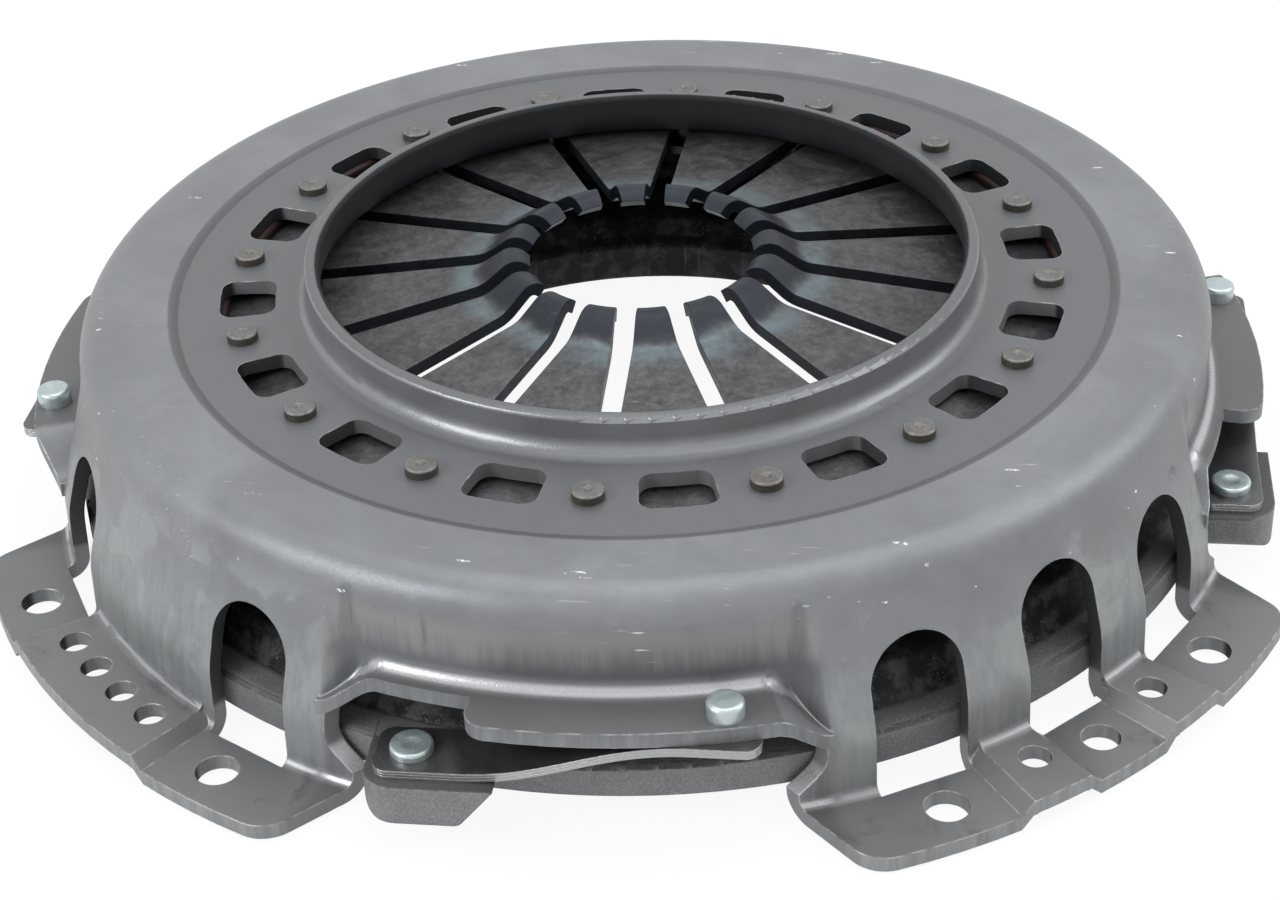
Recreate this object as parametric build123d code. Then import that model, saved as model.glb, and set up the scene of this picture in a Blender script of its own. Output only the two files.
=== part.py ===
from build123d import *
import os
from math import acos, asin, atan2, cos, pi, radians, sin, sqrt, tan

# Diaphragm-spring clutch cover assembly. +Z points away from the flywheel, the feet stand on z = 0
# and the shaft axis is Z. Millimetres and degrees.

# ---- sheet cover -------------------------------------------------------------------------------
sheet = 4.2                    # thickness of the pressed sheet
deck_top = 62.0                # ring-shaped deck that carries the pins
collar_inner = 91.5            # collar around the release opening
collar_top = 73.0
collar_bend = 5.0
rise_start, rise_end = 131.7, 135.0      # small step from the deck up to the crown
crown_start = 63.1
crown_slope = 0.036
split_radius = 147.0           # the deck is one turned piece up to here, feet and stations beyond
shoulder_bend = 9.0            # the same bend runs all round, above feet and stations
shoulder_circle = 151.3        # circle of the centres of that bend
foot_wall_radius = 171.2       # wall of a foot at the foot plane
knee_radius, knee_height = 170.4, 22.0   # nearly upright below, leaning in to the shoulder above
knee_bend = 30.0
flange_bend = 2.8
bolt_circle_radius = 183.0
foot_outer = bolt_circle_radius + 12.0
foot_half_width = 75.0
foot_corner = 10.0
pillar_half_width = foot_half_width - 7.0
raised_step = 3.45             # how far the raised pads of a flange stand above the others
ramp_width, ramp_lap = 3.6, 1.2          # width over which the flange rises to a raised pad
foot_half_angle = 22.9         # full height of a foot's wall; the recess beside it starts here
recess_blend = 2.9             # angle over which the wall runs from a foot back to a station
fold_width = 5.3               # angle over which pad and ledge fold down to the pillars
pad_fold, ledge_fold = 11.0, 8.0         # how far they come down
fold_bend, fold_overhang = 0.8, 1.6      # what is left of their bend and width at the pillar
join_tolerance = 0.002         # edges of the cover's pieces closer than this become one

# ---- drive strap stations ----------------------------------------------------------------------
panel_radius = shoulder_circle + shoulder_bend   # upright wall between two feet
pad_top = 36.0
pad_radius = 176.0
pad_bend = 4.5
pad_start = -8.1               # the pad runs from here to the next foot
ledge_radius = pad_radius - 10.5

# ---- holes -------------------------------------------------------------------------------------
bolt_hole_radius = 5.7
bolt_angle = 15.0
middle_hole_radius = 5.05
dowel_hole_radius = 4.15
dowel_circle_radius = bolt_circle_radius - 1.5
dowel_angles_a = [-6.4, -2.15, 2.15, 6.4]
dowel_angles_b = [-6.6, 6.6]
arch_half_width = 12.7
arch_top = 44.5
middle_arch_top = 47.5
arch_reach = foot_wall_radius + 1.8

# ---- pins and windows --------------------------------------------------------------------------
finger_count = 16
pitch = 360.0 / finger_count
pin_circle_radius = 115.0
pin_head_radius = 4.3
pin_head_height = 2.6
pin_shank_radius = 3.5
pin_foot_radius = 7.6
pin_foot_height = 3.0
window_inner, window_outer = pin_circle_radius - 10.4, pin_circle_radius + 5.2
window_half_angle = 5.0
window_corner = 4.0
fit_gap = 0.05                 # radial play of every riveted shank

# ---- diaphragm spring --------------------------------------------------------------------------
spring_thickness = 3.6
spring_outer = 137.0
spring_slope = 0.135
spring_tip = 31.8
finger_knee = 46.5             # radius where a finger starts to rise
hump_radius = 36.2
slot_width = 6.0
ring_radius = 120.6            # wire rings the spring tilts on
wire_radius = 1.7
contact_gap = 0.05

# ---- pressure plate ----------------------------------------------------------------------------
plate_bore = 92.6
plate_outer = knee_radius - sheet - 1.2    # clear of the walls of the feet
face_height = 7.0              # friction face above the flange plane
rim_top = 17.3
ridge_radius = 134.0           # ridge that carries the rim of the spring
ridge_tip = 2.5
ridge_gap = 0.3
vent_count = 32
vent_width = 9.0

# ---- drive straps ------------------------------------------------------------------------------
rivet_x = 38.6                 # rivets left and right of the station centre
rivet_y = pad_radius - 10.0
strap_half_width = 8.5
strap_half_length = rivet_x + 9.0
bend_start, bend_end = -(rivet_x - 11.6), rivet_x - 7.6      # the leaves bend between the rivets
leaf_thickness = 0.8
leaf_count = 3
leaf_gap = 0.02
lug_top = 18.0
lug_outer = pad_radius + 2.0
lug_left, lug_right = -(rivet_x + 11.9), -(rivet_x - 12.6)
lug_slope = 9.0
cover_rivet_head, cover_rivet_height = 4.7, 4.6
lug_rivet_head, lug_rivet_height = 5.5, 2.3
rivet_shank = 3.2
rivet_tail, rivet_tail_height = 5.6, 2.2
lug_pocket_radius = 7.0

foot_angles = {"a": [-135.0, 45.0], "b": [-45.0, 135.0]}
station_angles = {"front": -90.0, "right": 0.0, "back": 90.0, "left": 180.0}


def rounded_face(points):
    # flat face in the XZ plane from corners (x, z, corner radius)
    edges = []
    count = len(points)
    starts, ends = [], []
    for i in range(count):
        before, here, after = points[i - 1], points[i], points[(i + 1) % count]
        corner = Vector(here[0], 0, here[1])
        if here[2] <= 0:
            starts.append(corner)
            ends.append(corner)
            continue
        u = (Vector(before[0], 0, before[1]) - corner).normalized()
        v = (Vector(after[0], 0, after[1]) - corner).normalized()
        half = acos(max(-1.0, min(1.0, u.dot(v)))) / 2
        a = corner + u * (here[2] / tan(half))
        b = corner + v * (here[2] / tan(half))
        middle = (u + v).normalized()
        edges.append(ThreePointArc(a, corner + middle * (here[2] / sin(half) - here[2]), b))
        starts.append(a)
        ends.append(b)
    for i in range(count):
        following = (i + 1) % count
        if (ends[i] - starts[following]).length > 1e-6:
            edges.append(Line(ends[i], starts[following]))
    return Face(Wire(edges))


def sheet_face(path, thickness, start_round=0.0, end_round=0.0):
    # bent sheet: corners (x, z, visible bend radius) of its upper face, material on the right
    def direction(a, b):
        length = sqrt((b[0] - a[0]) ** 2 + (b[1] - a[1]) ** 2)
        return (b[0] - a[0]) / length, (b[1] - a[1]) / length

    legs = [direction(path[i], path[i + 1]) for i in range(len(path) - 1)]
    upper, lower = [], []
    for i, (x, z, radius) in enumerate(path):
        first = legs[max(i - 1, 0)]
        second = legs[min(i, len(legs) - 1)]
        scale = thickness / (1 + first[0] * second[0] + first[1] * second[1])
        shifted = (x + (first[1] + second[1]) * scale, z - (first[0] + second[0]) * scale)
        turn = first[0] * second[1] - first[1] * second[0]
        if i == 0:
            radius = other = start_round
        elif i == len(path) - 1:
            radius = other = end_round
        elif radius > 0:
            other = radius + thickness if turn > 0 else max(radius - thickness, 0.3)
        else:
            other = 0
        upper.append((x, z, radius))
        lower.append((shifted[0], shifted[1], other))
    return rounded_face(upper + lower[::-1])


def turned(face, start=0.0, end=360.0):
    # face in the XZ plane turned about Z from one angle to another
    solid = revolve(face, axis=Axis.Z, revolution_arc=end - start)
    return Rot(0, 0, start) * solid


def standing(points, near, far):
    # outline (sideways, z, corner radius) pushed outwards along +X from near to far; sideways is +Y
    face = Pos(near, 0, 0) * Rot(0, 0, 90) * rounded_face(points)
    return extrude(face, amount=far - near, dir=(1, 0, 0))


def plate_prism(outline, low, high):
    return extrude(Pos(0, 0, low) * outline, amount=high - low, dir=(0, 0, 1))


def at_angle(radius, angle):
    return Rot(0, 0, angle) * Pos(radius, 0, 0)


def round_rod(radius, low, high):
    return Pos(0, 0, low) * Cylinder(radius, high - low, align=(Align.CENTER, Align.CENTER, Align.MIN))


def crown_height(radius):
    return crown_start + (radius - rise_end) * crown_slope


# ---- cover -------------------------------------------------------------------------------------
def cover_deck():
    collar_outer = collar_inner + sheet
    path = [(collar_outer, collar_top, 0), (collar_outer, deck_top, collar_bend),
            (rise_start, deck_top, 3.0), (rise_end, crown_start, 3.0),
            (split_radius, crown_height(split_radius), 0)]
    deck = turned(sheet_face(path, sheet, start_round=1.6))
    window = turned(rounded_face([(window_inner, 40, 0), (window_outer, 40, 0),
                                  (window_outer, 70, 0), (window_inner, 70, 0)]),
                    -window_half_angle, window_half_angle)
    window = fillet(window.edges().filter_by(Axis.Z), window_corner)
    pin_hole = round_rod(pin_shank_radius + fit_gap, 40, 70)
    cuts = []
    for i in range(finger_count):
        cuts.append(Rot(0, 0, (i + 0.5) * pitch) * window)
        cuts.append(at_angle(pin_circle_radius, i * pitch) * pin_hole)
    return deck - cuts


shoulder_centre_z = crown_height(shoulder_circle) - shoulder_bend * sqrt(1 + crown_slope ** 2)
knee_to_centre = (shoulder_circle - knee_radius, shoulder_centre_z - knee_height)
wall_angle = (atan2(knee_to_centre[1], knee_to_centre[0])
              - asin(shoulder_bend / sqrt(knee_to_centre[0] ** 2 + knee_to_centre[1] ** 2)))
foot_wall_draft = -1 / tan(wall_angle)


def shoulder_corner(draft):
    # point where the crown line meets a wall with that draft, tangent to the shoulder bend
    wall_at_zero = shoulder_circle + shoulder_bend * sqrt(1 + draft ** 2) + draft * shoulder_centre_z
    crown_at_axis = crown_start - rise_end * crown_slope
    radius = (wall_at_zero - draft * crown_at_axis) / (1 + draft * crown_slope)
    return (radius, crown_height(radius), shoulder_bend)


def foot_profile(raise_by):
    flange_top = sheet + raise_by
    wall = foot_wall_radius + (knee_radius - foot_wall_radius) * flange_top / knee_height
    return sheet_face([(split_radius, crown_height(split_radius), 0), shoulder_corner(foot_wall_draft),
                       (knee_radius, knee_height, knee_bend),
                       (wall, flange_top, flange_bend), (foot_outer + 3, flange_top, 0)], sheet)


def foot_plan():
    # outline of a foot seen from above, pointing along +X
    outline = Pos(140, 0) * Rectangle(140, 2 * foot_half_width)
    outline = outline & Circle(foot_outer)
    corners = outline.vertices().sort_by(Axis.X)[-2:]
    return fillet(corners, foot_corner)


def foot_front():
    # front view of a foot: pillars above, wider flange below
    p, f = pillar_half_width, foot_half_width + 1
    return standing([(-f, -2, 0), (f, -2, 0), (f, 7, 0), (p, 15, 9), (p, 70, 0), (-p, 70, 0),
                     (-p, 15, 9), (-f, 7, 0)], 100, 205)


def flange_ramp(angle, rising):
    # slope up to a raised pad and the hollow under it; rising is +1 when the height grows anticlockwise
    half, far = ramp_width / 2, ramp_width / 2 + ramp_lap
    slope = [(-half, sheet - 1, 0), (far, sheet - 1, 0), (far, sheet + raised_step, 0),
             (half, sheet + raised_step, 0), (-half, sheet, 0)]
    hollow = [(-half, -1, 0), (far, -1, 0), (far, raised_step, 0), (half, raised_step, 0), (-half, 0, 0)]
    made = []
    for points in (slope, hollow):
        sided = [(rising * x, z, r) for x, z, r in points]
        made.append(Rot(0, 0, angle) * standing(sided, foot_wall_radius - 2, foot_outer + 3))
    return made


def foot_end(side):
    # last stretch of a foot, up to the middle of the sheet that folds down beside it
    start, end = (foot_half_angle, 27.0) if side > 0 else (-27.0, -foot_half_angle)
    top = pad_top - sheet / 2 - (ledge_fold if side > 0 else pad_fold)
    return turned(foot_profile(0), start, end) & (Pos(170, 0, 0) * Box(80, 220, 2 * top))


def make_foot(kind):
    edge = foot_half_angle
    if kind == "a":
        spans = [(-edge, -9.8, 0), (-9.8, 9.8, 1), (9.8, edge, 0)]
        arches = [(-bolt_angle, arch_top), (bolt_angle, arch_top)]
        dowels = dowel_angles_a
    else:
        spans = [(-edge, -10.2, 0), (-10.2, -4.0, 1), (-4.0, 4.0, 0), (4.0, 10.2, 1), (10.2, edge, 0)]
        arches = [(-bolt_angle, arch_top), (0.0, middle_arch_top), (bolt_angle, arch_top)]
        dowels = dowel_angles_b
    half = atan2(ramp_width / 2, bolt_circle_radius) * 180 / pi
    pieces, slopes, cuts = [], [], []
    for start, end, high in spans:
        grow = -half if high else half
        near = start - grow if start > -edge else start
        far = end + grow if end < edge else end
        pieces.append(turned(foot_profile(raised_step * high), near, far))
    for i in range(len(spans) - 1):
        slope, hollow = flange_ramp(spans[i][1], 1 if spans[i + 1][2] > spans[i][2] else -1)
        slopes.append(slope)
        cuts.append(hollow)
    body = pieces[0] + pieces[1:] + [foot_end(-1), foot_end(1)] - cuts
    body += slopes
    body = body & plate_prism(foot_plan(), -1, 80)
    body = body & foot_front()
    cuts = []
    for angle, top in arches:
        w = arch_half_width
        opening = standing([(-w, -1, 0), (w, -1, 0), (w, top, w - 0.01), (-w, top, w - 0.01)], 140, arch_reach)
        cuts.append(Rot(0, 0, angle) * opening)
    for side in (-1, 1):
        cuts.append(at_angle(bolt_circle_radius, side * bolt_angle) * round_rod(bolt_hole_radius, -1, 12))
    if kind == "b":
        cuts.append(at_angle(bolt_circle_radius, 0) * round_rod(middle_hole_radius, -1, 12))
    for angle in dowels:
        cuts.append(at_angle(dowel_circle_radius, angle) * round_rod(dowel_hole_radius, -1, 12))
    return body - cuts


def smooth_share(t):
    t = max(0.0, min(1.0, t))
    return t * t * (3 - 2 * t)


def foot_wall_at(height):
    corner = shoulder_corner(foot_wall_draft)
    return corner[0] + foot_wall_draft * (corner[1] - height)


def station_section(outer, lean=0.0, fold=0.0, drop=0.0):
    # wall and pad of a station. lean 1 is as far out as a foot's wall, and fold 1 brings the pad
    # down by the drop, with little left of its width
    draft = lean * foot_wall_draft
    corner = shoulder_corner(draft)
    height = pad_top - drop * fold
    wall = corner[0] + draft * (corner[1] - height)
    edge = outer + (foot_wall_at(pad_top - drop) + fold_overhang - outer) * fold
    bend = pad_bend + (fold_bend - pad_bend) * fold
    return sheet_face([(split_radius, crown_height(split_radius), 0), corner,
                       (wall, height, bend), (edge, height, 0)], sheet)


def station_end(side, outer, drop):
    # the pad folds down to the pillar while the wall swings out to the foot's, smoothly at both ends
    far = 45 - foot_half_angle
    steps = 8
    sections = []
    for step in range(steps + 1):
        angle = far - fold_width * (1 - step / steps)
        lean = smooth_share((angle - far + recess_blend) / recess_blend)
        section = station_section(outer, lean, smooth_share(step / steps), drop)
        sections.append(Rot(0, 0, side * angle) * section)
    return loft(sections)


def make_station():
    # upright panel between two feet with the pad the drive straps hang from, pointing along +X
    near = 45 - foot_half_angle - fold_width
    pad = turned(station_section(pad_radius), pad_start, near)
    tip = pad.edges().filter_by(Axis.Z).sort_by_distance(
        (pad_radius * cos(radians(pad_start)), pad_radius * sin(radians(pad_start)), pad_top))[0]
    pad = fillet(tip, 6.0)
    ledge = turned(station_section(ledge_radius), -near, pad_start)
    ends = [station_end(1, pad_radius, pad_fold), station_end(-1, ledge_radius, ledge_fold)]
    hole = Pos(rivet_y, rivet_x, 0) * round_rod(rivet_shank + fit_gap, 20, 45)
    return pad + [ledge] + ends - hole


def make_cover():
    pieces = []
    for kind, angles in foot_angles.items():
        shape = make_foot(kind)
        pieces += [Rot(0, 0, angle) * shape for angle in angles]
    shape = make_station()
    pieces += [Rot(0, 0, angle) * shape for angle in station_angles.values()]
    return cover_deck().fuse(*pieces, tol=join_tolerance)


# ---- spring and its rings ----------------------------------------------------------------------
ring_top_z = deck_top - sheet - wire_radius                  # centre of the upper wire
spring_top_at_ring = ring_top_z - wire_radius - contact_gap * 2


def spring_top(radius):
    return spring_top_at_ring + (ring_radius - radius) * spring_slope


spring_rise = sqrt(1 + spring_slope ** 2)
spring_bottom_at_ring = spring_top_at_ring - spring_thickness * spring_rise
ring_low_z = spring_bottom_at_ring - wire_radius * spring_rise - contact_gap


def make_spring():
    path = [(spring_tip, 67.6, 0), (hump_radius, 71.6, 5.5),
            (finger_knee, spring_top(finger_knee), 9.0), (spring_outer, spring_top(spring_outer), 0)]
    disc = turned(sheet_face(path, spring_thickness, end_round=0.9))
    slot = Pos((pin_circle_radius + 20) / 2, 0, 60) * Box(pin_circle_radius - 20, slot_width, 60)
    eye = at_angle(pin_circle_radius, 0) * round_rod(5.2, 30, 90)
    return disc - [Rot(0, 0, i * pitch) * (slot + eye) for i in range(finger_count)]


def wire_ring(height):
    return Pos(0, 0, height) * Torus(ring_radius, wire_radius)


def make_pins():
    foot_top = ring_low_z - wire_radius - contact_gap
    pins = []
    head = round_rod(pin_head_radius, deck_top, deck_top + pin_head_height)
    head = chamfer(head.edges().group_by(Axis.Z)[-1], 0.35)
    head -= Pos(0, 0, deck_top + pin_head_height + 1.1) * Sphere(1.7)
    pin = head + round_rod(pin_shank_radius, foot_top - 1, deck_top + 0.5)
    pin += round_rod(pin_foot_radius, foot_top - pin_foot_height, foot_top)
    for i in range(finger_count):
        pins.append(at_angle(pin_circle_radius, i * pitch) * pin)
    return Compound(children=pins)


# ---- pressure plate ----------------------------------------------------------------------------
def make_plate():
    spring_low = spring_top(ridge_radius) - spring_thickness * spring_rise
    ridge_top = spring_low - (ridge_tip + ridge_gap) * spring_rise + ridge_tip
    points = [(plate_bore, face_height, 1.2), (plate_outer, face_height, 1.0), (plate_outer, rim_top, 2.0),
              (156.6, rim_top + 0.4, 2.0), (152.0, 27.5, 2.5), (144.0, 28.5, 3.0),
              (ridge_radius + 4.2, ridge_top - 9, 3.0), (ridge_radius + ridge_tip, ridge_top, 2.4),
              (ridge_radius - ridge_tip, ridge_top, 2.4), (ridge_radius - 5, ridge_top - 12, 3.0),
              (124.0, 27.0, 3.0), (102.0, 24.5, 2.5), (97.0, 20.0, 2.0), (plate_bore, 19.0, 1.5)]
    body = turned(rounded_face(points))
    vent = Pos(ridge_radius, 0, 36) * Box(34, vent_width, 13)
    vent = fillet(vent.edges().filter_by(Axis.X), 3.5)
    body -= [Rot(0, 0, (i + 0.5) * 360 / vent_count) * vent for i in range(vent_count)]
    lug_end = lug_right + lug_slope
    side_view = standing([(lug_left, face_height, 5), (lug_right, face_height, 3), (lug_end, lug_top, 0),
                          (lug_left, lug_top, 1.5)], 150, lug_outer)
    plan = Pos((150 + lug_outer) / 2, (lug_left + lug_end) / 2) * Rectangle(lug_outer - 150, lug_end - lug_left)
    plan = fillet(plan.vertices().group_by(Axis.X)[-1].sort_by(Axis.Y)[0], 9.0)
    lug = side_view & plate_prism(plan, face_height - 1, lug_top + 1)
    lug_hole = Pos(rivet_y, -rivet_x, 0) * (round_rod(rivet_shank + fit_gap, 0, 30) +
                                            round_rod(lug_pocket_radius, face_height - 1, lug_top - 6))
    body += [Rot(0, 0, angle) * lug for angle in station_angles.values()]
    return body - [Rot(0, 0, angle) * lug_hole for angle in station_angles.values()]


# ---- drive straps and rivets -------------------------------------------------------------------
leaf_pitch = leaf_thickness + leaf_gap
stack = leaf_count * leaf_pitch
pad_under = pad_top - sheet


def make_leaf(index):
    # one leaf pointing along +X: flat on the lug, an S over the gap, flat under the pad
    low = lug_top + leaf_gap + index * leaf_pitch
    rise = pad_under - stack - lug_top - leaf_gap

    def edge_line(z):
        a, b = Vector(0, bend_start, z), Vector(0, bend_end, z + rise)
        return [Line(Vector(0, -strap_half_length, z), a),
                Spline(a, (a + b) * 0.5, b, tangents=[Vector(0, 1, 0), Vector(0, 1, 0)]),
                Line(b, Vector(0, strap_half_length, z + rise))]

    bottom, top = edge_line(low), edge_line(low + leaf_thickness)
    ends = [Line(bottom[0] @ 0, top[0] @ 0), Line(bottom[2] @ 1, top[2] @ 1)]
    face = Pos(rivet_y - strap_half_width, 0, 0) * Face(Wire(bottom + top + ends))
    blade = extrude(face, amount=2 * strap_half_width, dir=(1, 0, 0))
    blade = fillet(blade.edges().filter_by(Axis.Z), 4.0)
    return blade - [Pos(rivet_y, y, 0) * round_rod(rivet_shank + fit_gap, 0, 60) for y in (-rivet_x, rivet_x)]


def make_cover_rivet():
    head = round_rod(cover_rivet_head, pad_top + 0.02, pad_top + cover_rivet_height)
    head = fillet(head.edges().group_by(Axis.Z)[-1], 1.2)
    under = pad_under - stack - leaf_gap
    tail = round_rod(rivet_tail, under - rivet_tail_height, under)
    tail = chamfer(tail.edges().group_by(Axis.Z)[0], 0.5)
    return Pos(rivet_y, rivet_x, 0) * (head + round_rod(rivet_shank, under - 1, pad_top + 1) + tail)


def make_lug_rivet():
    top = lug_top + stack + leaf_gap * 2
    head = round_rod(lug_rivet_head, top, top + lug_rivet_height)
    head = fillet(head.edges().group_by(Axis.Z)[-1], 0.8)
    head -= Pos(0, 0, top + lug_rivet_height + 9.6) * Sphere(10)
    pocket_roof = lug_top - 6
    tail = round_rod(rivet_tail, pocket_roof - rivet_tail_height - 0.02, pocket_roof - 0.02)
    return Pos(rivet_y, -rivet_x, 0) * (head + round_rod(rivet_shank, pocket_roof - 1, top + 1) + tail)


def main():
    os.makedirs("parts", exist_ok=True)
    nodes = {
        "cover": make_cover(),
        "pressure_plate": make_plate(),
        "diaphragm_spring": make_spring(),
        "fulcrum_pins": make_pins(),
        "upper_fulcrum_ring": wire_ring(ring_top_z - contact_gap),
        "lower_fulcrum_ring": wire_ring(ring_low_z),
    }
    station_nodes = {"cover_rivet": make_cover_rivet(), "lug_rivet": make_lug_rivet()}
    for index, layer in enumerate(["lower", "middle", "upper"]):
        station_nodes[f"strap_{layer}"] = make_leaf(index)
    for place, angle in station_angles.items():
        for name, shape in station_nodes.items():
            nodes[f"{place}_{name}"] = Rot(0, 0, angle) * shape
    for name, shape in nodes.items():
        export_step(shape, f"parts/{name}.step")


main()
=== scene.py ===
from math import radians

import bpy
from mathutils import Matrix, Vector


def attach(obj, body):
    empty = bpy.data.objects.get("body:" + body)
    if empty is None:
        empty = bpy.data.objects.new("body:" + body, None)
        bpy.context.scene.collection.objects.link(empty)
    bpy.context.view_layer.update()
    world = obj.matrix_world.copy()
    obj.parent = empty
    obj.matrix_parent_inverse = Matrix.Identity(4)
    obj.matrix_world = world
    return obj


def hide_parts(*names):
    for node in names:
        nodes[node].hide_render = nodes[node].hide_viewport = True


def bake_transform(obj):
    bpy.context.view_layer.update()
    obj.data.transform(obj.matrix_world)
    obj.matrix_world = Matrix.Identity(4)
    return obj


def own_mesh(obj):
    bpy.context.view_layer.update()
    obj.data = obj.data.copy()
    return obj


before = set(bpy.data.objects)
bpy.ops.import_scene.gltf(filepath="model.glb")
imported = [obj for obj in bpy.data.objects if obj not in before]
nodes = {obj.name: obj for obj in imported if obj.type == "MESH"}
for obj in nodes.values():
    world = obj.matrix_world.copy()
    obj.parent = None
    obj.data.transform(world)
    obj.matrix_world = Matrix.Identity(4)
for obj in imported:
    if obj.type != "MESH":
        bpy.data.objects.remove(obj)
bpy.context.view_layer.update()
scene = bpy.context.scene
places = ["front", "right", "back", "left"]
layers = ["lower", "middle", "upper"]


# Camera. Everything is in metres, in the frame of the part.
view = {
    "location": (0.0906, -0.6497, 0.4313),
    "lookAt": (0.0078, -0.0749, 0.05),
    "roll": -2.59,
    "lens": 73.84,
}


def makeCamera():
    data = bpy.data.cameras.new("studioCamera")
    data.lens = view["lens"]
    camera = bpy.data.objects.new("studioCamera", data)
    scene.collection.objects.link(camera)
    place = Vector(view["location"])
    turn = (Vector(view["lookAt"]) - place).to_track_quat("-Z", "Y").to_matrix().to_4x4()
    roll = Matrix.Rotation(radians(view["roll"]), 4, "Z")
    camera.matrix_world = Matrix.Translation(place) @ turn @ roll
    scene.camera = camera


makeCamera()
print("camera set")


# Small helpers for shader trees. A value that is a socket is linked, any other one is typed in.
def setInputs(tree, node, inputs):
    for key, value in inputs.items():
        if isinstance(value, bpy.types.NodeSocket):
            tree.links.new(value, node.inputs[key])
        else:
            node.inputs[key].default_value = value


def addNode(tree, kind, inputs=None, **settings):
    node = tree.nodes.new("ShaderNode" + kind)
    for name, value in settings.items():
        setattr(node, name, value)
    setInputs(tree, node, inputs or {})
    return node


def math(tree, operation, a, b=0.0, c=0.0, clamp=False):
    return addNode(tree, "Math", {0: a, 1: b, 2: c}, operation=operation, use_clamp=clamp).outputs[0]


def vectorMath(tree, operation, a, b=(0, 0, 0)):
    node = addNode(tree, "VectorMath", {0: a, 1: b}, operation=operation)
    return node.outputs["Value" if operation in ("DOT_PRODUCT", "LENGTH") else "Vector"]


def mixColor(tree, share, a, b):
    return addNode(tree, "Mix", {0: share, 6: a, 7: b}, data_type="RGBA").outputs[2]


def mixValue(tree, share, a, b):
    return addNode(tree, "Mix", {0: share, 2: a, 3: b}, data_type="FLOAT").outputs[0]


def spread(tree, value, low, high, toLow=0.0, toHigh=1.0):
    return addNode(tree, "MapRange", {0: value, 1: low, 2: high, 3: toLow, 4: toHigh},
                   interpolation_type="SMOOTHSTEP").outputs[0]


def noise(tree, vector, scale, detail=3.0, roughness=0.55, distortion=0.0):
    return addNode(tree, "TexNoise", {"Vector": vector, "Scale": scale, "Detail": detail,
                                      "Roughness": roughness, "Distortion": distortion}).outputs[0]


def stretched(tree, vector, scale, turn=(0, 0, 0)):
    return addNode(tree, "Mapping", {"Vector": vector, "Rotation": [radians(a) for a in turn],
                                     "Scale": scale}).outputs[0]


def overlap(tree, *masks):
    total = masks[0]
    for mask in masks[1:]:
        total = math(tree, "MULTIPLY", total, mask)
    return total


def strongest(tree, *masks):
    total = masks[0]
    for mask in masks[1:]:
        total = math(tree, "MAXIMUM", total, mask)
    return total


def newGroup(name, inputs, outputs):
    group = bpy.data.node_groups.new(name, "ShaderNodeTree")
    for socket, kind, value in inputs:
        made = group.interface.new_socket(socket, in_out="INPUT", socket_type="NodeSocket" + kind)
        if value is not None:
            made.default_value = value
    for socket, kind in outputs:
        group.interface.new_socket(socket, in_out="OUTPUT", socket_type="NodeSocket" + kind)
    return group, group.nodes.new("NodeGroupInput").outputs, group.nodes.new("NodeGroupOutput").inputs


def useGroup(tree, group, inputs):
    return addNode(tree, "Group", inputs, node_tree=group).outputs


# Rounded and worn edges: the Bevel node's normal, and a mask where it leaves the face's own.
edgeLook = {"radius": 0.0006, "samples": 4, "bare": (0.01, 0.11),
            "breakup": 400.0, "breakupDetail": (4.0, 0.65), "broken": (0.36, 0.62)}


def makeEdgeGroup():
    group, given, out = newGroup("wornEdges", [("Radius", "Float", edgeLook["radius"]),
                                               ("Breakup", "Float", edgeLook["breakup"])],
                                 [("Normal", "Vector"), ("Wear", "Float")])
    rounded = addNode(group, "Bevel", {"Radius": given["Radius"]}, samples=edgeLook["samples"]).outputs[0]
    face = addNode(group, "NewGeometry").outputs["Normal"]
    place = addNode(group, "TexCoord").outputs["Object"]
    alike = vectorMath(group, "DOT_PRODUCT", rounded, face)
    bare = spread(group, math(group, "SUBTRACT", 1.0, alike), *edgeLook["bare"])
    patches = noise(group, place, given["Breakup"], *edgeLook["breakupDetail"])
    broken = spread(group, patches, *edgeLook["broken"])
    group.links.new(rounded, out["Normal"])
    group.links.new(math(group, "MULTIPLY", bare, broken, clamp=True), out["Wear"])
    return group


# Fine scratches: three sets of drawn-out noise at different turns, kept only where it peaks and
# in patches. Each set has its own size of patch.
scratchLook = {
    "scale": 60.0, "amount": 0.5, "stretch": (1.0, 24.0, 24.0), "detail": (2.0, 0.5),
    "kept": (0.68, 0.75), "patch": (0.55, 0.68), "patchDetail": 3.0,
    "sets": [((0, 0, 25), 22.25), ((20, 0, 100), 26.0), ((0, 35, 160), 29.0)],
}


def makeScratchGroup():
    look = scratchLook
    group, given, out = newGroup("fineScratches", [("Scale", "Float", look["scale"]),
                                                   ("Amount", "Float", look["amount"])],
                                 [("Mask", "Float")])
    place = addNode(group, "TexCoord").outputs["Object"]
    lines = []
    for turn, patchScale in look["sets"]:
        line = noise(group, stretched(group, place, look["stretch"], turn), given["Scale"], *look["detail"])
        patch = noise(group, place, patchScale, look["patchDetail"])
        kept = spread(group, line, *look["kept"])
        lines.append(overlap(group, kept, spread(group, patch, *look["patch"])))
    total = strongest(group, *lines)
    group.links.new(math(group, "MULTIPLY", total, given["Amount"], clamp=True), out["Mask"])
    return group


# Cloudy patches and fine grain that most of the metals here share.
cloudLook = {"scale": 14.0, "cloudDetail": (6.0, 0.62, 0.8), "grain": (1700.0, 3.0, 0.6),
             "kept": (0.3, 0.7)}


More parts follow.
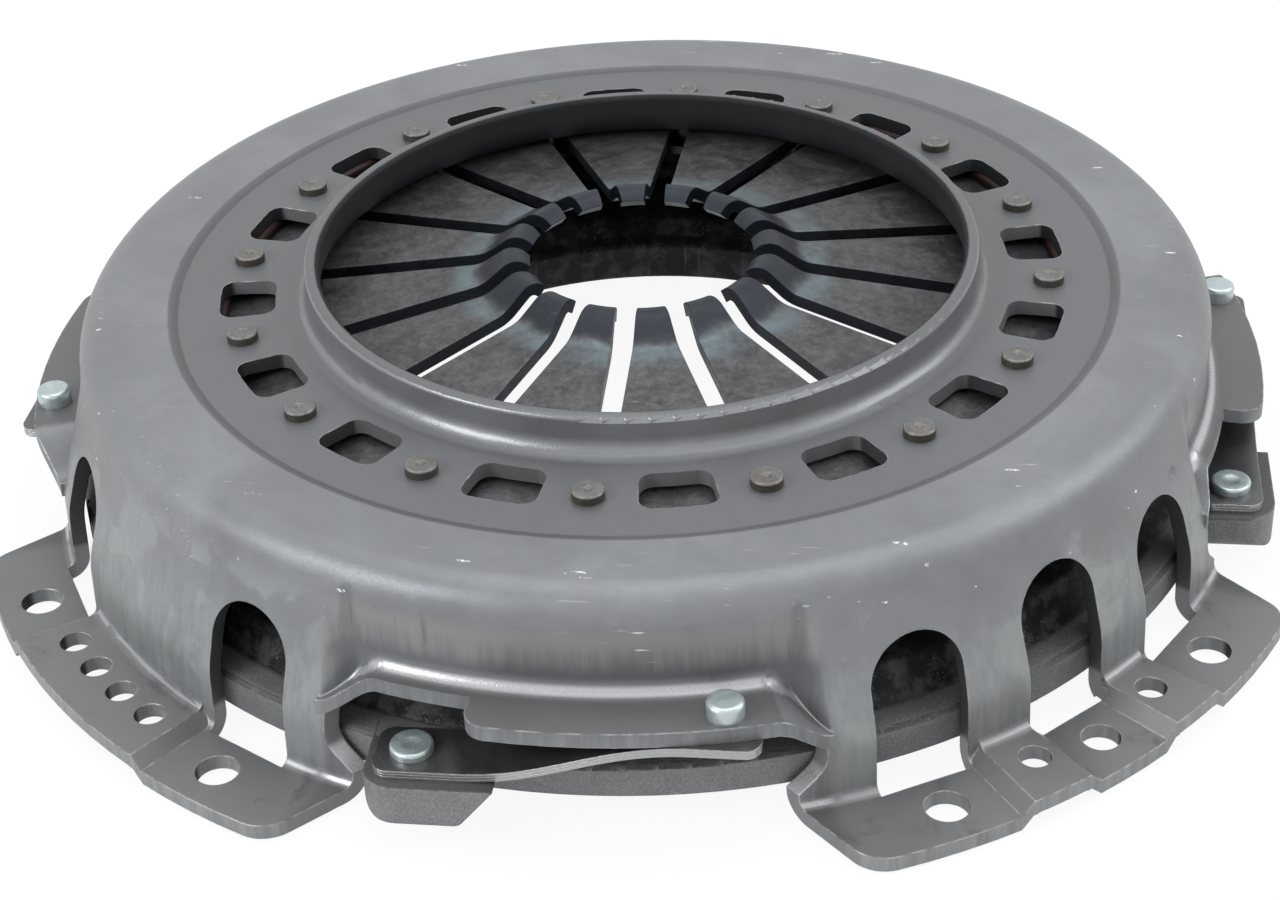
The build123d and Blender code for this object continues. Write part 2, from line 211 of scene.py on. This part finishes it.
def makeCloudGroup():
    group, given, out = newGroup("metalClouds", [("Scale", "Float", cloudLook["scale"])],
                                 [("Cloud", "Float"), ("Grain", "Float")])
    place = addNode(group, "TexCoord").outputs["Object"]
    cloud = noise(group, place, given["Scale"], *cloudLook["cloudDetail"])
    grain = noise(group, place, *cloudLook["grain"])
    group.links.new(spread(group, cloud, *cloudLook["kept"]), out["Cloud"])
    group.links.new(spread(group, grain, *cloudLook["kept"]), out["Grain"])
    return group


# Lines that run up and down a drawn wall, with a few deep ones among them.
drawnLook = {
    "scale": 260.0, "deepScale": 1.6,
    "fine": {"stretch": (1, 1, 0.05), "detail": (4.0, 0.7), "kept": (0.30, 0.70)},
    "deep": {"stretch": (1, 1, 0.07), "detail": (1.5, 0.5), "kept": (0.60, 0.74)},
}


def makeDrawnGroup():
    group, given, out = newGroup("drawnLines", [("Scale", "Float", drawnLook["scale"])],
                                 [("Lines", "Float"), ("Deep", "Float")])
    place = addNode(group, "TexCoord").outputs["Object"]
    deepScale = math(group, "MULTIPLY", given["Scale"], drawnLook["deepScale"])
    for look, scale, socket in ((drawnLook["fine"], given["Scale"], "Lines"),
                                (drawnLook["deep"], deepScale, "Deep")):
        lines = noise(group, stretched(group, place, look["stretch"]), scale, *look["detail"])
        group.links.new(spread(group, lines, *look["kept"]), out[socket])
    return group


# Knocks: a few irregular blots or ticks, one in some of the cells of a Voronoi pattern.
knockLook = {"scale": 40.0, "size": 0.08, "share": 0.2, "pushScale": 170.0, "pushDetail": 2.0,
             "push": 0.0016, "noiseMiddle": 0.5}


def makeKnockGroup():
    look = knockLook
    group, given, out = newGroup("knocks", [("Vector", "Vector", None), ("Scale", "Float", look["scale"]),
                                            ("Size", "Float", look["size"]),
                                            ("Share", "Float", look["share"])],
                                 [("Mask", "Float")])
    push = addNode(group, "TexNoise", {"Vector": given["Vector"], "Scale": look["pushScale"],
                                       "Detail": look["pushDetail"]}).outputs["Color"]
    push = vectorMath(group, "SUBTRACT", push, (look["noiseMiddle"],) * 3)
    push = vectorMath(group, "MULTIPLY", push, (look["push"],) * 3)
    cells = addNode(group, "TexVoronoi", {"Vector": vectorMath(group, "ADD", given["Vector"], push),
                                          "Scale": given["Scale"], "Randomness": 1.0})
    chosen = addNode(group, "SeparateXYZ", {0: cells.outputs["Color"]}).outputs[0]
    chosen = math(group, "LESS_THAN", chosen, given["Share"])
    near = math(group, "LESS_THAN", cells.outputs["Distance"], given["Size"])
    group.links.new(math(group, "MULTIPLY", chosen, near), out["Mask"])
    return group


edgeGroup = makeEdgeGroup()
scratchGroup = makeScratchGroup()
cloudGroup = makeCloudGroup()
drawnGroup = makeDrawnGroup()
knockGroup = makeKnockGroup()


def clearedTree(owner):
    owner.use_nodes = True
    owner.node_tree.nodes.clear()
    return owner.node_tree


def newMaterial(name):
    material = bpy.data.materials.new(name)
    tree = clearedTree(material)
    shader = addNode(tree, "BsdfPrincipled")
    addNode(tree, "OutputMaterial", {"Surface": shader.outputs[0]})
    return material, tree, shader


# Where a point lies on the part: distance from the shaft axis, height, how far its face looks
# outwards and upwards, and a wave that is 1 at the strap stations and -1 in the middle of the feet.
waveCount = 4.0


def findPlace(tree):
    place = addNode(tree, "TexCoord").outputs["Object"]
    normal = addNode(tree, "NewGeometry").outputs["Normal"]
    flat = vectorMath(tree, "MULTIPLY", place, (1, 1, 0))
    x, y, height = addNode(tree, "SeparateXYZ", {0: place}).outputs
    outward = vectorMath(tree, "DOT_PRODUCT", normal, vectorMath(tree, "NORMALIZE", flat))
    wave = math(tree, "COSINE", math(tree, "MULTIPLY", math(tree, "ARCTAN2", y, x), waveCount))
    return {"place": place, "radius": vectorMath(tree, "LENGTH", flat), "height": height,
            "outward": outward, "up": addNode(tree, "SeparateXYZ", {0: normal}).outputs[2], "wave": wave}


# Adds to the spot what the finish has values for: worn edges, clouds, scratches, lines, noises.
def addSurface(tree, spot, finish, radius):
    edge = useGroup(tree, edgeGroup, {"Radius": radius, "Breakup": finish["breakup"]})
    spot["edgeWear"], spot["normal"] = edge["Wear"], edge["Normal"]
    if "cloudScale" in finish:
        cloud = useGroup(tree, cloudGroup, {"Scale": finish["cloudScale"]})
        spot["cloud"], spot["grain"] = cloud["Cloud"], cloud["Grain"]
    if "scratch" in finish:
        spot["scratch"] = useGroup(tree, scratchGroup, finish["scratch"])["Mask"]
    if "lineScale" in finish:
        drawn = useGroup(tree, drawnGroup, {"Scale": finish["lineScale"]})
        spot["lines"], spot["deep"] = drawn["Lines"], drawn["Deep"]
    for name, values in finish.get("noises", {}).items():
        spot[name] = noise(tree, spot["place"], *values)


# A zone is a product of masks: a name stands for a mask that is already there, and a tuple for
# a measure that fades in from its first limit to its second.
def addZones(tree, spot, zones):
    for name, parts in zones.items():
        masks = [spot[part] if isinstance(part, str) else spread(tree, spot[part[0]], *part[1:])
                 for part in parts]
        spot[name] = overlap(tree, *masks)


# Colours are laid over each other in turn: the mask, how strongly, and the colour's name.
def layered(tree, color, spot, finish):
    for mask, share, over in finish["layers"]:
        shown = spot[mask] if share == 1 else math(tree, "MULTIPLY", spot[mask], share)
        color = mixColor(tree, shown, color, finish[over])
    return color


# Masks are added to a value or taken from it, each with its own weight.
def summed(tree, total, spot, steps):
    for mask, operation, weight in steps:
        total = math(tree, operation, total, math(tree, "MULTIPLY", spot[mask], weight))
    return total


def finishShader(tree, shader, spot, finish, color, rough, height):
    strength, distance = finish["bump"]
    bump = addNode(tree, "Bump", {"Strength": strength, "Distance": distance, "Height": height,
                                  "Normal": spot["normal"]}).outputs[0]
    setInputs(tree, shader, {"Base Color": color, "Metallic": finish["metallic"], "Roughness": rough,
                             "Specular IOR Level": finish["specular"], "Normal": bump})


# Pressed cover: mid grey bare steel. The deck is a shade darker, the panels between the feet carry dark
# drawn streaks above a bend with a painted highlight line, faces that look inwards or downwards get painted
# shade, and the cut edges stay dark.
coverFinish = {
    "grey": (0.170, 0.178, 0.188, 1),
    "light": (0.245, 0.255, 0.266, 1),
    "deck": (0.124, 0.130, 0.137, 1),
    "flange": (0.158, 0.163, 0.168, 1),
    "pad": (0.105, 0.108, 0.112, 1),
    "smudge": (0.060, 0.062, 0.072, 1),
    "highlight": (0.330, 0.345, 0.350, 1),
    "shadedInside": (0.022, 0.023, 0.026, 1),
    "cut": (0.040, 0.043, 0.046, 1),
    "panel": (0.260, 0.260, 0.248, 1),
    "streak": (0.070, 0.078, 0.094, 1),
    "bendHighlight": (0.52, 0.53, 0.55, 1),
    "bright": (0.74, 0.75, 0.76, 1),
    "mark": (0.070, 0.075, 0.085, 1),
    "metallic": 0.45,
    "specular": 0.3,
    "rough": (0.34, 0.46),
    "bump": (0.25, 0.0002),
    "bendLine": (0.1616, 0.0373),
    "creaseWave": 0.17,
    "edgeRadius": 0.0006,
    "breakup": 260.0,
    "cloudScale": 15.0,
    "cloudShare": 0.7,
    "lineScale": 330.0,
    "deepShare": 0.6,
    "footBendShare": 0.5,
    "legLightAndMarks": (0.16, 0.45),
    "scratch": {"Scale": 42.0, "Amount": 0.8},
    "blot": {"Scale": 34.0, "Size": 0.10, "Share": 0.4},
    "tick": {"Scale": 36.0, "Size": 0.10, "Share": 0.22},
    "tickStretch": (1, 6, 6),
    "tickTurns": ((50, 20, 10), (-35, 60, 120), (15, -40, 75)),
    "noises": {
        "fine": (620.0, 3.0, 0.6),
        "mottle": (75.0, 5.0, 0.65, 0.6),
        "smudgeNoise": (52.0, 5.0, 0.65, 0.5),
        "haloNoise": (38.0, 4.0, 0.55, 0.6),
    },
    "rounded": {"rounded": [("radius", 0.108, 0.112), ("offLine", 0.0040, 0.0060)]},
    "zones": {
        "steep": [("up", 0.55, 0.2)],
        "station": [("wave", 0.0, 0.12)],
        "facingOut": [("outward", 0.2, 0.6)],
        "mottled": [("mottle", 0.42, 0.68)],
        "onDeck": [("radius", 0.1355, 0.1325), ("up", 0.6, 0.9)],
        "facingIn": [("outward", -0.15, -0.55)],
        "facingDown": [("up", -0.2, -0.6)],
        "clearOfBend": [("offLine", 0.0028, 0.0038)],
        "cutFace": [("sideways", 0.6, 0.35), "steep", ("wave", -0.12, -0.2), ("height", 0.0095, 0.0115)],
        "panel": ["steep", "station", "facingOut", ("height", 0.057, 0.050)],
        "panelLow": ["panel", ("height", 0.053, 0.040)],
        "panelFoot": ["panel", ("height", 0.0455, 0.0400)],
        "panelLines": ["panelLow", "lines"],
        "panelDeep": ["panel", "deep"],
        "leg": ["steep", "facingOut", ("height", 0.048, 0.030)],
        "bent": [("outward", 0.1, 0.3), ("up", 0.35, 0.6), ("up", 0.90, 0.76)],
        "bendMiddle": [("offLine", 0.0018, 0.0005), ("wave", 0.36, 0.42)],
        "bendEnds": ["bent", "station", ("height", 0.0425, 0.0405), ("wave", 0.42, 0.36)],
        "crease": ["steep", "facingOut", ("height", 0.038, 0.050), ("height", 0.060, 0.057),
                   ("offCrease", 0.07, 0.02)],
        "footBend": ["bent", ("wave", 0.05, -0.05), ("height", 0.014, 0.010), ("radius", 0.178, 0.1755)],
        "collarBend": ["bent", ("radius", 0.104, 0.102)],
        "pad": ["station", ("up", 0.85, 0.97), ("radius", 0.161, 0.164)],
        "smudges": [("smudgeNoise", 0.55, 0.72), ("radius", 0.168, 0.172), ("height", 0.02, 0.01)],
        "flange": [("radius", 0.170, 0.174), ("height", 0.012, 0.009)],
        "shoulder": [("radius", 0.138, 0.146), ("height", 0.043, 0.050)],
        "highlight": ["steep", "facingOut", ("wave", 0.2, -0.1), ("height", 0.056, 0.048),
                 ("height", 0.006, 0.020), ("haloNoise", 0.53, 0.60)],
        "scratched": ["scratch", "shoulder"],
        "blots": ["blotCells", "shoulder", ("fine", 0.40, 0.50)],
        "ticks": ["tickCells", "shoulder", ("fine", 0.45, 0.60)],
        "wear": ["edgeWear", ("radius", 0.106, 0.112, 0.0, 0.6)],
    },
    "layers": [
        ("mottled", 0.3, "flange"),
        ("onDeck", 0.85, "deck"),
        ("flange", 0.75, "flange"),
        ("smudges", 0.6, "smudge"),
        # Painted dark reflection on the flat strap pads.
        ("pad", 0.7, "pad"),
        ("panel", 0.6, "panel"),
        # Painted shade along the foot of each panel, just above the bend.
        ("panelFoot", 0.6, "streak"),
        ("streaks", 0.7, "streak"),
        # Feet walls lightened all over as painted light, plus real pale brush marks along the drawn lines.
        ("legsLitAndMarked", 1, "highlight"),
        # Painted highlight patches on the feet walls above the arches, broken up by noise.
        ("highlight", 0.45, "highlight"),
        # Painted shade in the crease where the foot wall meets the panel.
        ("crease", 0.32, "streak"),
        # Painted highlight ring along the collar's bend, standing in for a reflection.
        ("collarBend", 0.25, "highlight"),
        # Painted highlight line along the bends, with lower roughness there for a polished bend.
        ("highlitBends", 0.75, "bendHighlight"),
        ("scratched", 1, "bright"),
        ("blots", 1, "mark"),
        ("ticks", 1, "bright"),
        # Bright worn edges: partly real wear, partly a painted highlight along the edges.
        ("wear", 1, "bright"),
        # Painted shade on faces that look inwards or downwards.
        ("shadedInside", 1, "shadedInside"),
        ("cutFace", 0.85, "cut"),
    ],
    "roughSteps": [("edgeWear", "SUBTRACT", 0.12), ("highlitBends", "SUBTRACT", 0.16),
                   ("collarBend", "SUBTRACT", 0.12), ("shadedInside", "ADD", 0.3), ("grain", "ADD", 0.08)],
    "grainHeight": 0.35,
    "heightSteps": [("cloud", "ADD", 0.5), ("streaks", "SUBTRACT", 0.5),
                    ("blots", "SUBTRACT", 1.6), ("ticks", "SUBTRACT", 0.8)],
}


def makeCoverSteel():
    finish = coverFinish
    material, tree, shader = newMaterial("coverSteel")
    spot = findPlace(tree)
    across = math(tree, "SUBTRACT", spot["radius"], finish["bendLine"][0])
    upward = math(tree, "SUBTRACT", spot["height"], finish["bendLine"][1])
    offLine = addNode(tree, "CombineXYZ", {0: across, 1: upward}).outputs[0]
    offCrease = math(tree, "SUBTRACT", spot["wave"], finish["creaseWave"])
    spot["offLine"] = vectorMath(tree, "LENGTH", offLine)
    spot["offCrease"] = math(tree, "ABSOLUTE", offCrease)
    spot["sideways"] = math(tree, "ABSOLUTE", spot["outward"])
    addZones(tree, spot, finish["rounded"])
    addSurface(tree, spot, finish, math(tree, "MULTIPLY", spot["rounded"], finish["edgeRadius"]))
    spot["blotCells"] = useGroup(tree, knockGroup, {"Vector": spot["place"], **finish["blot"]})["Mask"]
    ticks = []
    for turn in finish["tickTurns"]:
        vector = stretched(tree, spot["place"], finish["tickStretch"], turn)
        ticks.append(useGroup(tree, knockGroup, {"Vector": vector, **finish["tick"]})["Mask"])
    spot["tickCells"] = strongest(tree, *ticks)
    addZones(tree, spot, finish["zones"])

    shadedInside = strongest(tree, spot["facingIn"], spot["facingDown"])
    spot["shadedInside"] = overlap(tree, shadedInside, spot["clearOfBend"])
    deep = math(tree, "MULTIPLY", spot["panelDeep"], finish["deepShare"])
    spot["streaks"] = strongest(tree, spot["panelLines"], deep)
    least, more = finish["legLightAndMarks"]
    legShare = math(tree, "ADD", least, math(tree, "MULTIPLY", spot["lines"], more))
    spot["legsLitAndMarked"] = overlap(tree, spot["leg"], legShare)
    footBend = math(tree, "MULTIPLY", spot["footBend"], finish["footBendShare"])
    spot["highlitBends"] = strongest(tree, spot["bendMiddle"], spot["bendEnds"], footBend)

    clouded = math(tree, "MULTIPLY", spot["cloud"], finish["cloudShare"])
    color = mixColor(tree, clouded, finish["grey"], finish["light"])
    color = layered(tree, color, spot, finish)
    rough = spread(tree, spot["cloud"], 0.0, 1.0, *finish["rough"])
    rough = summed(tree, rough, spot, finish["roughSteps"])
    height = math(tree, "MULTIPLY", spot["grain"], finish["grainHeight"])
    height = summed(tree, height, spot, finish["heightSteps"])
    finishShader(tree, shader, spot, finish, color, rough, height)
    return material


# Cast plate: sandy grey skin, vertical marks round the rim, machined grey where it was turned, painted
# shade on the rim's inner face and on the sloped faces, and painted glints on the slopes.
castFinish = {
    "dark": (0.150, 0.151, 0.156, 1),
    "grey": (0.265, 0.267, 0.276, 1),
    "lugTop": (0.060, 0.062, 0.066, 1),
    "shade": (0.010, 0.010, 0.011, 1),
    "machined": (0.20, 0.205, 0.21, 1),
    "bright": (0.34, 0.34, 0.35, 1),
    "metallic": 0.35,
    "specular": 0.12,
    "rough": (0.52, 0.36),
    "bump": (0.4, 0.0003),
    "edgeRadius": 0.0009,
    "breakup": 500.0,
    "lineScale": 300.0,
    "rings": (2600.0, 2.0, 0.6),
    "ringHeight": 0.12,
    "noises": {
        "sand": (2600.0, 3.0, 0.7),
        "lumps": (160.0, 4.0, 0.6),
        "glint": (1500.0, 2.0, 0.6),
        "glintPatch": (130.0, 3.0, 0.6),
    },
    "zones": {
        "face": [("up", -0.8, -0.95)],
        "steep": [("tilt", 0.55, 0.25)],
        "lugTop": [("radius", 0.1655, 0.1665), ("up", 0.85, 0.95)],
        "grains": [("sand", 0.36, 0.68)],
        "lumpy": [("lumps", 0.45, 0.65)],
        "rimInside": [("radius", 0.1585, 0.1565)],
        "slope": [("up", 0.2, 0.4), ("up", 0.97, 0.9)],
        "sparkle": ["slope", ("glint", 0.58, 0.68), ("glintPatch", 0.46, 0.66)],
        "rimLines": ["steep", "deep"],
    },
    "layers": [
        # Painted shade on the rim's inner face and on the sloped faces.
        ("rimInside", 0.9, "shade"),
        ("slope", 0.6, "shade"),
        # Painted glints on the slopes.
        ("sparkle", 0.45, "bright"),
        ("rimLines", 0.5, "dark"),
        ("lumpy", 0.35, "dark"),
        ("lugTop", 0.8, "lugTop"),
        ("face", 1, "machined"),
        ("edgeWear", 0.5, "bright"),
    ],
    "roughSteps": [("lugTop", "SUBTRACT", 0.1)],
    "sandHeight": 0.7,
    "heightSteps": [("lumps", "ADD", 0.35)],
}


def makeCastIron():
    finish = castFinish
    material, tree, shader = newMaterial("castIron")
    spot = findPlace(tree)
    spot["tilt"] = math(tree, "ABSOLUTE", spot["up"])
    addSurface(tree, spot, finish, finish["edgeRadius"])
    addZones(tree, spot, finish["zones"])
    turned = addNode(tree, "CombineXYZ", {0: spot["radius"], 1: spot["height"]}).outputs[0]
    rings = math(tree, "MULTIPLY", noise(tree, turned, *finish["rings"]), finish["ringHeight"])

    color = mixColor(tree, spot["grains"], finish["dark"], finish["grey"])
    color = layered(tree, color, spot, finish)
    rough = mixValue(tree, spot["face"], *finish["rough"])
    rough = summed(tree, rough, spot, finish["roughSteps"])
    height = math(tree, "MULTIPLY", spot["sand"], finish["sandHeight"])
    height = summed(tree, height, spot, finish["heightSteps"])
    height = mixValue(tree, spot["face"], height, rings)
    finishShader(tree, shader, spot, finish, color, rough, height)
    return material


# Spring: dark mottled steel, a faint blue band where the fingers were heated, darker tips with a band of
# painted shadow just outside them, and nearly black sides. The bands wander a little.
springFinish = {
    "dark": (0.044, 0.045, 0.048, 1),
    "grey": (0.130, 0.131, 0.136, 1),
    "blue": (0.165, 0.230, 0.262, 1),
    "shade": (0.026, 0.029, 0.036, 1),
    "tip": (0.020, 0.026, 0.034, 1),
    "side": (0.010, 0.013, 0.020, 1),
    "bright": (0.36, 0.37, 0.38, 1),
    "metallic": 0.7,
    "specular": 0.25,
    "rough": (0.36, 0.48),
    "bump": (0.3, 0.0002),
    "edgeRadius": 0.0006,
    "breakup": 600.0,
    "cloudScale": 90.0,
    "scratch": {"Scale": 80.0, "Amount": 0.25},
    "noiseMiddle": 0.5,
    "bandWander": 0.010,
    "cloudShare": 0.45,
    "mottleSteps": [("mottled", "ADD", 0.5)],
    "haze": (0.18, 0.34),
    "noises": {
        "mottle": (420.0, 5.0, 0.7, 0.5),
        "drift": (75.0, 3.0, 0.55),
        "patches": (110.0, 3.0, 0.6),
    },
    "zones": {
        "mottled": [("mottle", 0.35, 0.70)],
        "patchy": [("patches", 0.32, 0.68)],
        "blueBand": [("band", 0.057, 0.050), ("band", 0.0445, 0.0485)],
        "shadeBand": [("band", 0.0480, 0.0450), ("band", 0.0395, 0.0425)],
        "tips": [("band", 0.0465, 0.0435)],
        "sides": [("tilt", 0.45, 0.25)],
        "wear": ["edgeWear", ("band", 0.042, 0.048, 0.0, 0.2)],
    },
    "layers": [
        ("hazed", 1, "blue"),
        ("tips", 0.85, "tip"),
        # Painted shadow band just outside the finger tips.
        ("shadeBand", 0.6, "shade"),
        ("scratch", 1, "bright"),
        ("wear", 1, "bright"),
        ("sides", 0.9, "side"),
    ],
    "grainHeight": 0.5,
    "heightSteps": [("cloud", "ADD", 0.4)],
}


def makeSpringSteel():
    finish = springFinish
    material, tree, shader = newMaterial("springSteel")
    spot = findPlace(tree)
    spot["tilt"] = math(tree, "ABSOLUTE", spot["up"])
    addSurface(tree, spot, finish, finish["edgeRadius"])
    drift = math(tree, "SUBTRACT", spot["drift"], finish["noiseMiddle"])
    wander = math(tree, "MULTIPLY", drift, finish["bandWander"])
    spot["band"] = math(tree, "ADD", spot["radius"], wander)
    addZones(tree, spot, finish["zones"])
    least, more = finish["haze"]
    haze = math(tree, "ADD", least, math(tree, "MULTIPLY", spot["patchy"], more))
    spot["hazed"] = overlap(tree, spot["blueBand"], haze)

    mixed = math(tree, "MULTIPLY", spot["cloud"], finish["cloudShare"])
    mixed = summed(tree, mixed, spot, finish["mottleSteps"])
    color = mixColor(tree, mixed, finish["dark"], finish["grey"])
    color = layered(tree, color, spot, finish)
    rough = spread(tree, spot["cloud"], 0.0, 1.0, *finish["rough"])
    height = math(tree, "MULTIPLY", spot["grain"], finish["grainHeight"])
    height = summed(tree, height, spot, finish["heightSteps"])
    finishShader(tree, shader, spot, finish, color, rough, height)
    return material


# Pins, wire rings, straps and rivets share one recipe with their own values. Steep faces have their own
# colour, and what lies below shadeBelow gets painted shade.
smallSurface = {
    "shade": (0.012, 0.012, 0.013, 1),
    "shadeFade": 0.001,
    "specular": 0.5,
    "bump": (0.15, 0.0001),
    "edgeRadius": 0.0004,
    "breakup": 700.0,
    "scratch": {"Scale": 90.0, "Amount": 0.5},
    "zones": {"steep": [("tilt", 0.6, 0.3)]},
    "layers": [
        ("steep", 0.85, "side"),
        ("scratch", 0.6, "bright"),
        ("edgeWear", 0.7, "bright"),
        ("below", 1, "shade"),
    ],
    "heightSteps": [("cloud", "ADD", 0.2)],
}
smallFinishes = {
    "pinSteel": {
        "low": (0.105, 0.102, 0.097, 1),
        "high": (0.160, 0.158, 0.152, 1),
        "side": (0.058, 0.050, 0.041, 1),
        "bright": (0.5, 0.49, 0.47, 1),
        "rough": (0.36, 0.5), "metallic": 0.5, "cloudScale": 260.0, "shadeBelow": 0.0612,
    },
    "ringWire": {
        "low": (0.010, 0.003, 0.002, 1),
        "high": (0.024, 0.008, 0.005, 1),
        "side": (0.012, 0.004, 0.003, 1),
        "bright": (0.06, 0.03, 0.02, 1),
        "rough": (0.45, 0.6), "metallic": 0.3, "cloudScale": 120.0, "shadeBelow": 0.0,
    },
    "strapSteel": {
        "low": (0.115, 0.118, 0.124, 1),
        "high": (0.175, 0.178, 0.184, 1),
        "side": (0.420, 0.426, 0.434, 1),
        "bright": (0.55, 0.56, 0.57, 1),
        "rough": (0.26, 0.36), "metallic": 0.8, "cloudScale": 45.0, "shadeBelow": 0.0,
    },
    "zincRivet": {
        "low": (0.41, 0.48, 0.49, 1),
        "high": (0.47, 0.55, 0.56, 1),
        "side": (0.50, 0.55, 0.55, 1),
        "bright": (0.85, 0.88, 0.87, 1),
        "rough": (0.24, 0.34), "metallic": 0.7, "cloudScale": 160.0, "shadeBelow": 0.0,
    },
}


def makeSmallFinish(name):
    finish = {**smallSurface, **smallFinishes[name]}
    material, tree, shader = newMaterial(name)
    spot = findPlace(tree)
    spot["tilt"] = math(tree, "ABSOLUTE", spot["up"])
    addSurface(tree, spot, finish, finish["edgeRadius"])
    addZones(tree, spot, finish["zones"])
    dark = finish["shadeBelow"] - finish["shadeFade"]
    spot["below"] = spread(tree, spot["height"], finish["shadeBelow"], dark)

    color = mixColor(tree, spot["cloud"], finish["low"], finish["high"])
    color = layered(tree, color, spot, finish)
    rough = spread(tree, spot["cloud"], 0.0, 1.0, *finish["rough"])
    height = summed(tree, spot["grain"], spot, finish["heightSteps"])
    finishShader(tree, shader, spot, finish, color, rough, height)
    return material


materials = {"coverSteel": makeCoverSteel(), "castIron": makeCastIron(), "springSteel": makeSpringSteel()}
for finishName in smallFinishes:
    materials[finishName] = makeSmallFinish(finishName)
print("materials made")


# Each piece is dressed on a merged copy of its solid, so that curved faces shade smoothly.
dressing = {"mergeDistance": 0.00002, "smoothAngle": 32.0}


def deselectAll():
    if bpy.context.object and bpy.context.object.mode != "OBJECT":
        bpy.ops.object.mode_set(mode="OBJECT")
    bpy.ops.object.select_all(action="DESELECT")


def dressed(name, pieceName, finish):
    source = nodes[name]
    piece = bpy.data.objects.new(pieceName, source.data.copy())
    scene.collection.objects.link(piece)
    deselectAll()
    piece.select_set(True)
    bpy.context.view_layer.objects.active = piece
    if piece.data.has_custom_normals:
        bpy.ops.mesh.customdata_custom_splitnormals_clear()
    bpy.ops.object.mode_set(mode="EDIT")
    bpy.ops.mesh.select_all(action="SELECT")
    bpy.ops.mesh.remove_doubles(threshold=dressing["mergeDistance"])
    bpy.ops.object.mode_set(mode="OBJECT")
    bpy.ops.object.shade_smooth_by_angle(angle=radians(dressing["smoothAngle"]))
    bpy.ops.object.modifier_add(type="WEIGHTED_NORMAL")
    weighted = piece.modifiers[-1]
    weighted.keep_sharp = True
    bpy.ops.object.modifier_apply(modifier=weighted.name)
    piece.data.materials.clear()
    piece.data.materials.append(materials[finish])
    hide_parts(name)
    return piece


coverPieces = {
    "cover": ("coverShell", "coverSteel", "cover_steel"),
    "fulcrum_pins": ("pinSet", "pinSteel", "pin_steel"),
    "upper_fulcrum_ring": ("upperRing", "ringWire", "ring_wire"),
    "lower_fulcrum_ring": ("lowerRing", "ringWire", "ring_wire"),
}
for name, (pieceName, finish, slot) in coverPieces.items():
    piece = dressed(name, pieceName, finish)
    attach(piece, "cover_body")

plate = dressed("pressure_plate", "plateCasting", "castIron")
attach(plate, "plate_body")

# The real spring flattens about its rings as the plate lifts; here it rides on the cover, on a mesh of its
# own.
spring = dressed("diaphragm_spring", "springDisc", "springSteel")
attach(spring, "cover_body")
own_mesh(spring)

# Strap leaves run between the pad and the lug, and the real ones bend sideways along each station; here
# each is dressed and its placing baked into its mesh, and the rivets ride on the cover or the plate.
stationAngles = (-90, 0, 90, 180)
for place, angle in zip(places, stationAngles):
    for layer in layers:
        leaf = dressed(f"{place}_strap_{layer}", f"{place}Leaf_{layer}", "strapSteel")
        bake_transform(leaf)
    coverRivet = dressed(f"{place}_cover_rivet", f"{place}CoverRivet", "zincRivet")
    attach(coverRivet, "cover_body")
    lugRivet = dressed(f"{place}_lug_rivet", f"{place}LugRivet", "zincRivet")
    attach(lugRivet, "plate_body")
print("pieces dressed")


# Plain studio: white surroundings, a pale floor that keeps the shadow, three soft lamps.
studio = {
    "white": (1, 1, 1, 1),
    "fill": 0.73,
    "shown": 1.0,
    "floorSize": 8.0,
    "floorDrop": 0.0006,
    "floorGrey": (0.86, 0.86, 0.86, 1),
    "floorWhite": 0.92,
    "lamps": {
        "topSoft": {"place": (0.05, 0.15, 1.3), "size": 1.2, "power": 8.0},
        "keySoft": {"place": (-0.9, -0.75, 0.75), "size": 0.6, "power": 9.0},
        "rimSoft": {"place": (0.9, 0.1, 0.7), "size": 0.7, "power": 4.0},
    },
}


def seenDirectly(tree):
    path = addNode(tree, "LightPath").outputs
    return strongest(tree, path["Is Camera Ray"], path["Is Glossy Ray"], path["Is Transmission Ray"])


def lit(tree, kind, strength):
    return addNode(tree, kind, {"Color": studio["white"], "Strength": strength}).outputs[0]


def makeWorld():
    world = bpy.data.worlds.new("whiteRoom")
    scene.world = world
    tree = clearedTree(world)
    dim = lit(tree, "Background", studio["fill"])
    white = lit(tree, "Background", studio["shown"])
    mixed = addNode(tree, "MixShader", {0: seenDirectly(tree), 1: dim, 2: white}).outputs[0]
    addNode(tree, "OutputWorld", {"Surface": mixed})


def makeFloor():
    bpy.ops.mesh.primitive_plane_add(size=studio["floorSize"], location=(0, 0, -studio["floorDrop"]))
    floor = bpy.context.object
    floor.name = "studioFloor"
    material = bpy.data.materials.new("paleFloor")
    tree = clearedTree(material)
    matte = addNode(tree, "BsdfDiffuse", {"Color": studio["floorGrey"]}).outputs[0]
    white = lit(tree, "Emission", studio["shown"])
    share = math(tree, "MULTIPLY", seenDirectly(tree), studio["floorWhite"])
    mixed = addNode(tree, "MixShader", {0: share, 1: matte, 2: white}).outputs[0]
    addNode(tree, "OutputMaterial", {"Surface": mixed})
    floor.data.materials.append(material)


def makeLamps():
    for name, lamp in studio["lamps"].items():
        data = bpy.data.lights.new(name, "AREA")
        data.size = lamp["size"]
        data.energy = lamp["power"]
        light = bpy.data.objects.new(name, data)
        scene.collection.objects.link(light)
        light.location = lamp["place"]
        light.rotation_mode = "QUATERNION"
        light.rotation_quaternion = (-Vector(lamp["place"])).to_track_quat("-Z", "Y")


makeWorld()
makeFloor()
makeLamps()
scene.view_settings.view_transform = "Standard"
print("studio made")
